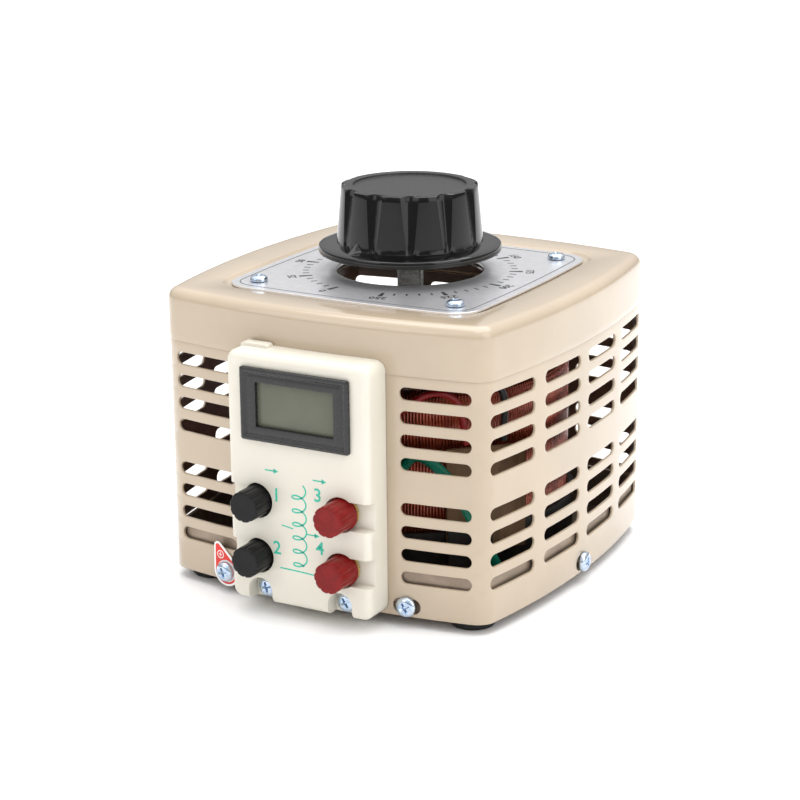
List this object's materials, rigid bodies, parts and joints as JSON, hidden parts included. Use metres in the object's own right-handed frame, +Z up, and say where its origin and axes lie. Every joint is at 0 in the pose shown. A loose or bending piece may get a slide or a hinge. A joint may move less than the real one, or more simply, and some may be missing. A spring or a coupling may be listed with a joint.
{
  "type": "variac autotransformer",
  "caption": "Bench variable autotransformer: vented steel cover, top knob over a round voltage dial, panel meter and screw binding posts on the front.",
  "frame": {"origin": "under the middle of the whole object's outer size, on the plane the feet stand on", "axes": "+X to the right when facing the terminal panel, +Y from the panel towards the back, +Z up along the knob's axis"},
  "size_m": [0.163, 0.1828, 0.1574],
  "materials": {
    "beige_enamel": "glossy light beige enamel",
    "dial_aluminium": "satin aluminium with printed scale",
    "zinc": "bright zinc plate",
    "steel": "plain steel",
    "base_steel": "dull plated steel",
    "rubber": "matte black rubber",
    "knob_black": "glossy black thermoset",
    "phenolic": "dark phenolic",
    "laminate": "brown paper laminate",
    "enamelled_copper": "enamelled copper wire, reddish brown",
    "core_steel": "grain-oriented steel strip",
    "brass": "plain brass",
    "bronze": "sintered bronze",
    "carbon": "matte carbon",
    "ivory": "satin ivory moulding",
    "bezel_black": "satin black plastic",
    "lcd_green": "grey-green display, unlit",
    "board_green": "green circuit board",
    "cap_black": "satin black plastic",
    "cap_red": "satin red plastic",
    "tag_red": "red and white printed tag",
    "red_lead": "red insulation",
    "black_lead": "black insulation",
    "green_lead": "green insulation",
    "plain_aluminium": "plain aluminium"
  },
  "bodies": {
    "case": {"base_plate": "base_steel", "bearing_tube": "steel", "board_bracket": "phenolic", "bush_upper": "bronze", "case_screw_back": "zinc", "case_screw_front": "zinc", "case_screw_left": "zinc", "case_screw_right": "zinc", "case_top": "beige_enamel", "case_wall": "beige_enamel", "clamp_plate": "phenolic", "collector_ring": "brass", "dial_plate": "dial_aluminium", "dial_screw_back_left": "zinc", "dial_screw_back_right": "zinc", "dial_screw_front_left": "zinc", "dial_screw_front_right": "zinc", "earth_screw": "zinc", "earth_tag": "tag_red", "foot_back_left": "rubber", "foot_back_right": "rubber", "foot_front_left": "rubber", "foot_front_right": "rubber", "insulating_board": "laminate", "lcd_window": "lcd_green", "lead_black": "black_lead", "lead_green": "green_lead", "lead_red": "red_lead", "meter_bezel": "bezel_black", "meter_board": "board_green", "panel_screw_left": "zinc", "panel_screw_right": "zinc", "post_stud_lower_left": "brass", "post_stud_lower_right": "brass", "post_stud_upper_left": "brass", "post_stud_upper_right": "brass", "stop_post": "steel", "support_ring": "phenolic", "terminal_panel": "ivory", "tie_bolt_1": "steel", "tie_bolt_2": "steel", "tie_bolt_3": "steel", "toroid_core": "core_steel", "winding": "enamelled_copper"},
    "rotor": {"knob": "knob_black", "knob_set_screw": "steel", "shaft": "steel", "brush_hub": "phenolic", "brush_arm": "plain_aluminium", "brush_holder": "brass", "brush_spring": "steel"},
    "brush": {"carbon_brush": "carbon"},
    "clamp_upper_left": {"post_washer_upper_left": "brass"},
    "cap_upper_left": {"post_cap_upper_left": "cap_black"},
    "clamp_lower_left": {"post_washer_lower_left": "brass"},
    "cap_lower_left": {"post_cap_lower_left": "cap_black"},
    "clamp_upper_right": {"post_washer_upper_right": "brass"},
    "cap_upper_right": {"post_cap_upper_right": "cap_red"},
    "clamp_lower_right": {"post_washer_lower_right": "brass"},
    "cap_lower_right": {"post_cap_lower_right": "cap_red"}
  },
  "joints": [
    {"name": "knob_turn", "type": "hinge", "parent": "case", "child": "rotor", "pos_m": [0, 0.0099, 0.0945], "axis": [0, 0, -1], "range_deg": [0, 330]},
    {"name": "brush_lift", "type": "slide", "parent": "rotor", "child": "brush", "axis": [0, 0, 1], "range_m": [0, 0.003], "stiffness_N_per_m": 100, "springref_m": -0.01, "deforming": ["brush_spring"]},
    {"name": "lift_upper_left", "type": "slide", "parent": "case", "child": "clamp_upper_left", "axis": [0, -1, 0], "range_m": [0, 0.00401]},
    {"name": "turn_upper_left", "type": "hinge", "parent": "clamp_upper_left", "child": "cap_upper_left", "pos_m": [-0.0179, -0.0851, 0.0473], "axis": [0, -1, 0], "range_deg": [0, 1800]},
    {"name": "lift_lower_left", "type": "slide", "parent": "case", "child": "clamp_lower_left", "axis": [0, -1, 0], "range_m": [0, 0.00401]},
    {"name": "turn_lower_left", "type": "hinge", "parent": "clamp_lower_left", "child": "cap_lower_left", "pos_m": [-0.0179, -0.0851, 0.0247], "axis": [0, -1, 0], "range_deg": [0, 1800]},
    {"name": "lift_upper_right", "type": "slide", "parent": "case", "child": "clamp_upper_right", "axis": [0, -1, 0], "range_m": [0, 0.00401]},
    {"name": "turn_upper_right", "type": "hinge", "parent": "clamp_upper_right", "child": "cap_upper_right", "pos_m": [0.0195, -0.0851, 0.0473], "axis": [0, -1, 0], "range_deg": [0, 1800]},
    {"name": "lift_lower_right", "type": "slide", "parent": "case", "child": "clamp_lower_right", "axis": [0, -1, 0], "range_m": [0, 0.00401]},
    {"name": "turn_lower_right", "type": "hinge", "parent": "clamp_lower_right", "child": "cap_lower_right", "pos_m": [0.0195, -0.0851, 0.0247], "axis": [0, -1, 0], "range_deg": [0, 1800]}
  ],
  "couplings": [
    {"joint": "lift_upper_left", "follows": "turn_upper_left", "m_per_rad": 0.00012732},
    {"joint": "lift_lower_left", "follows": "turn_lower_left", "m_per_rad": 0.00012732},
    {"joint": "lift_upper_right", "follows": "turn_upper_right", "m_per_rad": 0.00012732},
    {"joint": "lift_lower_right", "follows": "turn_lower_right", "m_per_rad": 0.00012732}
  ]
}
